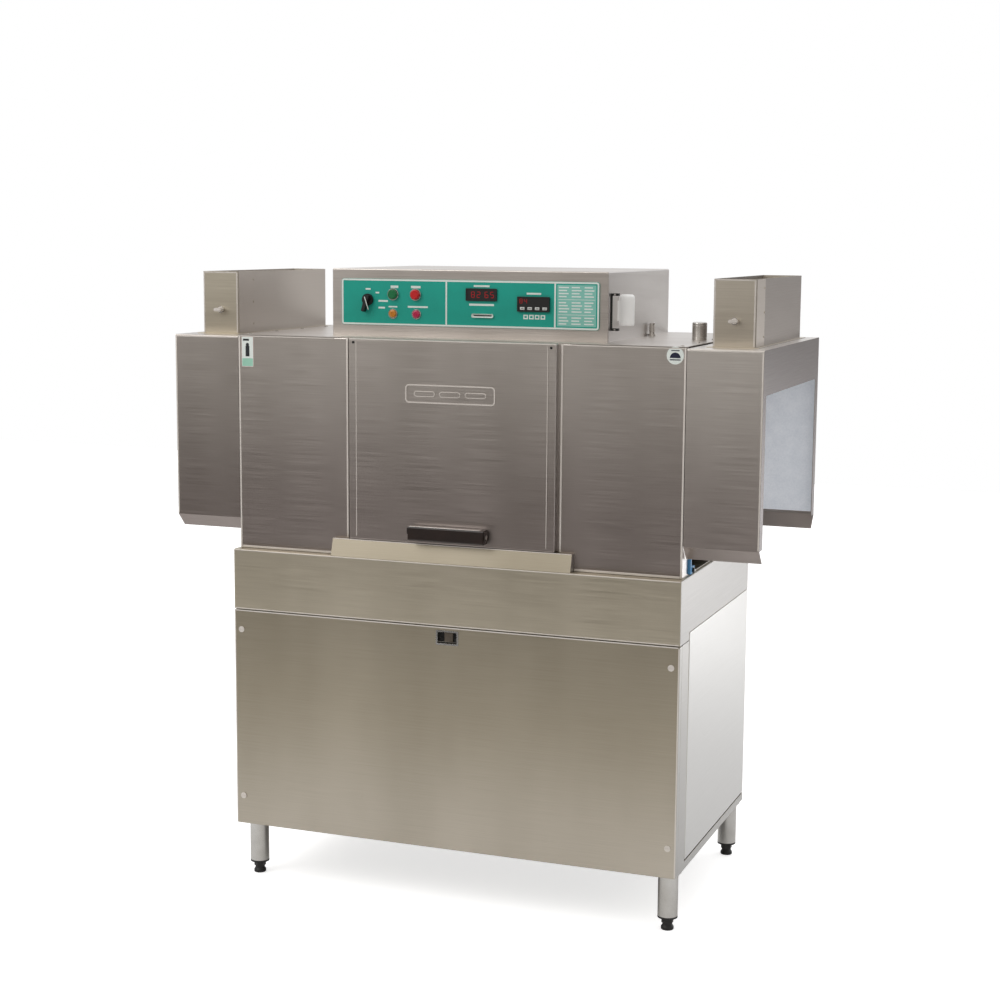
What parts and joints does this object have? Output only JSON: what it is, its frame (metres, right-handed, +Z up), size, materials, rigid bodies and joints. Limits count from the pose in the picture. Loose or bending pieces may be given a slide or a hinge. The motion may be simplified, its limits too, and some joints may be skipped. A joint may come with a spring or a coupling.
{
  "type": "commercial dishwasher",
  "caption": "Rack-conveyor commercial dishwasher: cabinet on four legs, wash tank, hood with lift-up door, end hoods, vent cowls and a control box on the roof.",
  "frame": {"origin": "on the floor under the middle of the machine's bounding box", "axes": "+X from the entry end to the exit end, +Y from the operator's side to the back, +Z up"},
  "size_m": [1.557, 0.7179, 1.61],
  "materials": {
    "brushed_stainless": "brushed stainless sheet",
    "mill_stainless": "mill-finish stainless",
    "polished_stainless": "polished stainless",
    "black_plastic": "moulded black plastic",
    "dark_handle": "dark moulded grip",
    "fascia_green": "printed satin overlay",
    "green_button": "glossy moulding",
    "red_button": "glossy moulding",
    "amber_lens": "translucent lens",
    "red_lens": "translucent lens",
    "white_plastic": "white moulding",
    "blue_plastic": "blue moulded nylon",
    "curtain_pvc": "soft strip curtain",
    "cast_metal": "cast metal",
    "motor_paint": "enamelled motor"
  },
  "bodies": {
    "cabinet": {"legs": "mill_stainless", "leg_inserts": "black_plastic", "base_frame": "mill_stainless", "left_side_panel": "brushed_stainless", "right_side_panel": "brushed_stainless", "base_back_panel": "brushed_stainless", "wash_tank": "brushed_stainless", "scrap_tray": "mill_stainless", "heater_element": "polished_stainless", "door_sill": "brushed_stainless", "left_front_panel": "brushed_stainless", "right_front_panel": "brushed_stainless", "chamber_back_panel": "brushed_stainless", "chamber_roof": "brushed_stainless", "end_bulkheads": "brushed_stainless", "entry_hood": "brushed_stainless", "exit_hood": "brushed_stainless", "door_guides": "mill_stainless", "left_vent_cowl": "brushed_stainless", "right_vent_cowl": "brushed_stainless", "control_box_cover": "brushed_stainless", "control_fascia": "fascia_green", "button_bezels": "polished_stainless", "amber_lamp": "amber_lens", "red_lamp": "red_lens", "wash_thermometer": "black_plastic", "rinse_controller": "black_plastic", "contactors": "black_plastic", "dosing_bracket": "black_plastic", "dosing_pump": "white_plastic", "roof_fittings": "polished_stainless", "rack_rails": "mill_stainless", "rail_end_caps": "blue_plastic", "gearmotor": "motor_paint", "wash_arms": "polished_stainless", "rinse_arms": "polished_stainless", "pump_housing": "cast_metal", "pump_motor": "motor_paint"},
    "front_panel": {"front_access_panel": "brushed_stainless", "panel_pull": "polished_stainless", "panel_studs": "polished_stainless"},
    "door": {"door_panel": "brushed_stainless", "door_handle": "dark_handle"},
    "left_damper": {"left_damper": "brushed_stainless"},
    "right_damper": {"right_damper": "brushed_stainless"},
    "selector": {"selector_knob": "black_plastic"},
    "start_button": {"start_button": "green_button"},
    "stop_button": {"stop_button": "red_button"},
    "entry_curtain": {"entry_curtain": "curtain_pvc"},
    "exit_curtain": {"exit_curtain": "curtain_pvc"},
    "pusher_bar": {"pawl_bar": "mill_stainless"},
    "entry_pawl": {"entry_pawl": "blue_plastic"},
    "exit_pawl": {"exit_pawl": "blue_plastic"},
    "crank": {"drive_crank": "cast_metal"},
    "impeller": {"pump_impeller": "cast_metal"},
    "standpipe": {"overflow_standpipe": "mill_stainless"},
    "foot_front_left": {"foot_front_left": "black_plastic"},
    "foot_front_right": {"foot_front_right": "black_plastic"},
    "foot_rear_left": {"foot_rear_left": "black_plastic"},
    "foot_rear_right": {"foot_rear_right": "black_plastic"}
  },
  "joints": [
    {"name": "door_lift", "type": "slide", "parent": "cabinet", "child": "door", "axis": [0, 0, 1], "range_m": [0, 0.38]},
    {"name": "front_panel_off", "type": "slide", "parent": "cabinet", "child": "front_panel", "axis": [0, -1, 0], "range_m": [0, 0.3]},
    {"name": "left_damper_turn", "type": "hinge", "parent": "cabinet", "child": "left_damper", "pos_m": [-0.687, 0, 1.499], "axis": [0, 1, 0], "range_deg": [0, 90]},
    {"name": "right_damper_turn", "type": "hinge", "parent": "cabinet", "child": "right_damper", "pos_m": [0.687, 0, 1.499], "axis": [0, 1, 0], "range_deg": [0, 90]},
    {"name": "selector_turn", "type": "hinge", "parent": "cabinet", "child": "selector", "pos_m": [-0.269, -0.2225, 1.532], "axis": [0, 1, 0], "range_deg": [0, 100]},
    {"name": "start_press", "type": "slide", "parent": "cabinet", "child": "start_button", "axis": [0, 1, 0], "range_m": [0, 0.003], "stiffness_N_per_m": 900},
    {"name": "stop_press", "type": "slide", "parent": "cabinet", "child": "stop_button", "axis": [0, 1, 0], "range_m": [0, 0.003], "stiffness_N_per_m": 900},
    {"name": "entry_curtain_swing", "type": "hinge", "parent": "cabinet", "child": "entry_curtain", "pos_m": [-0.5855, 0.0115, 1.345], "axis": [0, 1, 0], "range_deg": [-45, 45]},
    {"name": "exit_curtain_swing", "type": "hinge", "parent": "cabinet", "child": "exit_curtain", "pos_m": [0.5855, 0.0115, 1.345], "axis": [0, 1, 0], "range_deg": [-45, 45]},
    {"name": "pusher_stroke", "type": "slide", "parent": "cabinet", "child": "pusher_bar", "axis": [1, 0, 0], "range_m": [0, 0.15]},
    {"name": "entry_pawl_tip", "type": "hinge", "parent": "pusher_bar", "child": "entry_pawl", "pos_m": [-0.45, 0.0115, 0.896], "axis": [0, 1, 0], "range_deg": [0, 35]},
    {"name": "exit_pawl_tip", "type": "hinge", "parent": "pusher_bar", "child": "exit_pawl", "pos_m": [0.15, 0.0115, 0.896], "axis": [0, 1, 0], "range_deg": [0, 35]},
    {"name": "crank_turn", "type": "hinge", "parent": "cabinet", "child": "crank", "pos_m": [0.5, 0.0115, 0.878], "axis": [0, 0, 1], "continuous": true},
    {"name": "impeller_spin", "type": "hinge", "parent": "cabinet", "child": "impeller", "pos_m": [0.2, 0.2385, 0.43], "axis": [1, 0, 0], "continuous": true},
    {"name": "standpipe_lift", "type": "slide", "parent": "cabinet", "child": "standpipe", "axis": [0, 0, 1], "range_m": [0, 0.09]},
    {"name": "foot_front_left_screw", "type": "slide", "parent": "cabinet", "child": "foot_front_left", "axis": [0, 0, -1], "range_m": [0, 0.025]},
    {"name": "foot_front_right_screw", "type": "slide", "parent": "cabinet", "child": "foot_front_right", "axis": [0, 0, -1], "range_m": [0, 0.025]},
    {"name": "foot_rear_left_screw", "type": "slide", "parent": "cabinet", "child": "foot_rear_left", "axis": [0, 0, -1], "range_m": [0, 0.025]},
    {"name": "foot_rear_right_screw", "type": "slide", "parent": "cabinet", "child": "foot_rear_right", "axis": [0, 0, -1], "range_m": [0, 0.025]}
  ]
}
